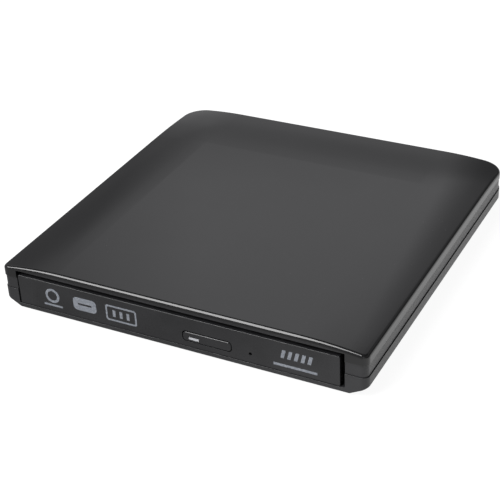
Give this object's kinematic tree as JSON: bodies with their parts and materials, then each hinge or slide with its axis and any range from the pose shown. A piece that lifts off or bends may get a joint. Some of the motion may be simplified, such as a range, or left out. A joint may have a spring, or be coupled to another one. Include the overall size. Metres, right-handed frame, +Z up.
{
  "type": "external optical drive",
  "caption": "Slim external optical disc drive: black plastic case with a glossy crowned lid, sliding tray behind a front bezel, eject button and rear data and power sockets.",
  "frame": {"origin": "middle of the case's plan, in the plane the feet stand on", "axes": "+Z up, -Y out of the front bezel, +X to the right seen from the front"},
  "size_m": [0.145, 0.146, 0.019],
  "materials": {
    "gloss_black": "polished black ABS",
    "matte_black": "fine-textured black ABS",
    "bezel_black": "satin black ABS",
    "button_black": "satin black ABS",
    "lamp_window": "frosted clear window",
    "tray_plastic": "matte black moulding",
    "rubber_black": "soft black rubber",
    "foam_dark": "closed-cell foam",
    "steel_sheet": "zinc-plated pressed sheet",
    "steel_screw": "black-zinc screws",
    "steel_bright": "ground bright steel",
    "aluminium_satin": "satin aluminium",
    "board_green": "solder-masked glass fibre board",
    "chip_black": "moulded chip package",
    "socket_plastic": "black socket moulding",
    "copper_wire": "enamelled copper winding",
    "magnet_grey": "nickel-plated magnet",
    "lens_plastic": "clear moulded lens",
    "cable_white": "flat cable",
    "hub_white": "low-friction hub plastic"
  },
  "bodies": {
    "case": {"lid": "gloss_black", "upper_frame": "matte_black", "base_cover": "matte_black", "rubber_feet": "rubber_black", "case_screws": "steel_screw", "drive_screws": "steel_screw", "foam_pads": "foam_dark", "bridge_board": "board_green", "board_screws": "steel_screw", "bridge_chips": "chip_black", "usb_port": "steel_bright", "usb_tongue": "socket_plastic", "dc_jack": "socket_plastic", "sata_receptacle": "socket_plastic", "chassis_bottom": "steel_sheet", "chassis_top": "steel_sheet", "chassis_screws": "steel_screw", "guide_left": "tray_plastic", "guide_right": "tray_plastic", "connector_board": "board_green", "sata_plug": "socket_plastic", "latch_post": "steel_bright", "flex_cable": "cable_white"},
    "tray": {"tray": "tray_plastic", "tray_shield": "steel_sheet", "shield_screws": "steel_screw", "main_board": "board_green", "main_board_chips": "chip_black", "switch_board": "board_green", "eject_switch": "socket_plastic", "bezel": "bezel_black", "traverse_frame": "steel_sheet", "guide_rods": "steel_bright", "dampers": "rubber_black", "deck_cover": "aluminium_satin", "sled_motor": "steel_bright", "spindle_base": "steel_sheet", "stator_core": "steel_sheet", "stator_coils": "copper_wire", "latch_pin": "steel_bright", "latch_magnet": "magnet_grey", "kick_plunger": "tray_plastic"},
    "rail_left": {"rail_left": "steel_sheet"},
    "rail_right": {"rail_right": "steel_sheet"},
    "eject_button": {"eject_button": "button_black", "led_window": "lamp_window"},
    "spindle": {"rotor": "steel_bright", "spindle_shaft": "steel_bright", "turntable": "hub_white", "turntable_pad": "rubber_black", "disc_hub": "hub_white"},
    "disc_catch_1": {"disc_catch_1": "aluminium_satin"},
    "disc_catch_2": {"disc_catch_2": "aluminium_satin"},
    "disc_catch_3": {"disc_catch_3": "aluminium_satin"},
    "pickup": {"pickup_sled": "magnet_grey", "actuator_magnets": "magnet_grey"},
    "lens": {"lens_holder": "chip_black", "objective_lens": "lens_plastic"},
    "lead_screw": {"lead_screw": "steel_bright"},
    "latch_lever": {"latch_lever": "tray_plastic"}
  },
  "joints": [
    {"name": "tray_slide", "type": "slide", "parent": "case", "child": "tray", "axis": [0, -1, 0], "range_m": [0, 0.126], "deforming": ["flex_cable"]},
    {"name": "rail_left_slide", "type": "slide", "parent": "case", "child": "rail_left", "axis": [0, -1, 0], "range_m": [0, 0.063]},
    {"name": "rail_right_slide", "type": "slide", "parent": "case", "child": "rail_right", "axis": [0, -1, 0], "range_m": [0, 0.063]},
    {"name": "button_press", "type": "slide", "parent": "tray", "child": "eject_button", "axis": [0, 1, 0], "range_m": [0, 0.0008]},
    {"name": "spindle_spin", "type": "hinge", "parent": "tray", "child": "spindle", "pos_m": [-0.0016, -0.007, 0.0119], "axis": [0, 0, 1], "continuous": true},
    {"name": "disc_catch_1_slide", "type": "slide", "parent": "spindle", "child": "disc_catch_1", "axis": [-1, 0, 0], "range_m": [0, 0.0005]},
    {"name": "disc_catch_2_slide", "type": "slide", "parent": "spindle", "child": "disc_catch_2", "axis": [0.5, -0.866, 0], "range_m": [0, 0.0005]},
    {"name": "disc_catch_3_slide", "type": "slide", "parent": "spindle", "child": "disc_catch_3", "axis": [0.5, 0.866, 0], "range_m": [0, 0.0005]},
    {"name": "pickup_slide", "type": "slide", "parent": "tray", "child": "pickup", "axis": [0.7071, -0.7071, 0], "range_m": [0, 0.035]},
    {"name": "lead_screw_spin", "type": "hinge", "parent": "tray", "child": "lead_screw", "pos_m": [-0.00125, -0.03493, 0.0066], "axis": [0.7071, -0.7071, 0], "range_deg": [0, 4200.5]},
    {"name": "lens_focus", "type": "slide", "parent": "pickup", "child": "lens", "axis": [0, 0, 1], "range_m": [-0.0004, 0.0004]},
    {"name": "latch_turn", "type": "hinge", "parent": "tray", "child": "latch_lever", "pos_m": [0.0434, 0.034, 0.006], "axis": [0, 0, 1], "range_deg": [-13, 0]}
  ],
  "couplings": [
    {"joint": "rail_left_slide", "follows": "tray_slide", "ratio": 0.5},
    {"joint": "rail_right_slide", "follows": "tray_slide", "ratio": 0.5},
    {"joint": "disc_catch_2_slide", "follows": "disc_catch_1_slide", "ratio": 1},
    {"joint": "disc_catch_3_slide", "follows": "disc_catch_1_slide", "ratio": 1},
    {"joint": "lead_screw_spin", "follows": "pickup_slide", "rad_per_m": 2094.4}
  ]
}
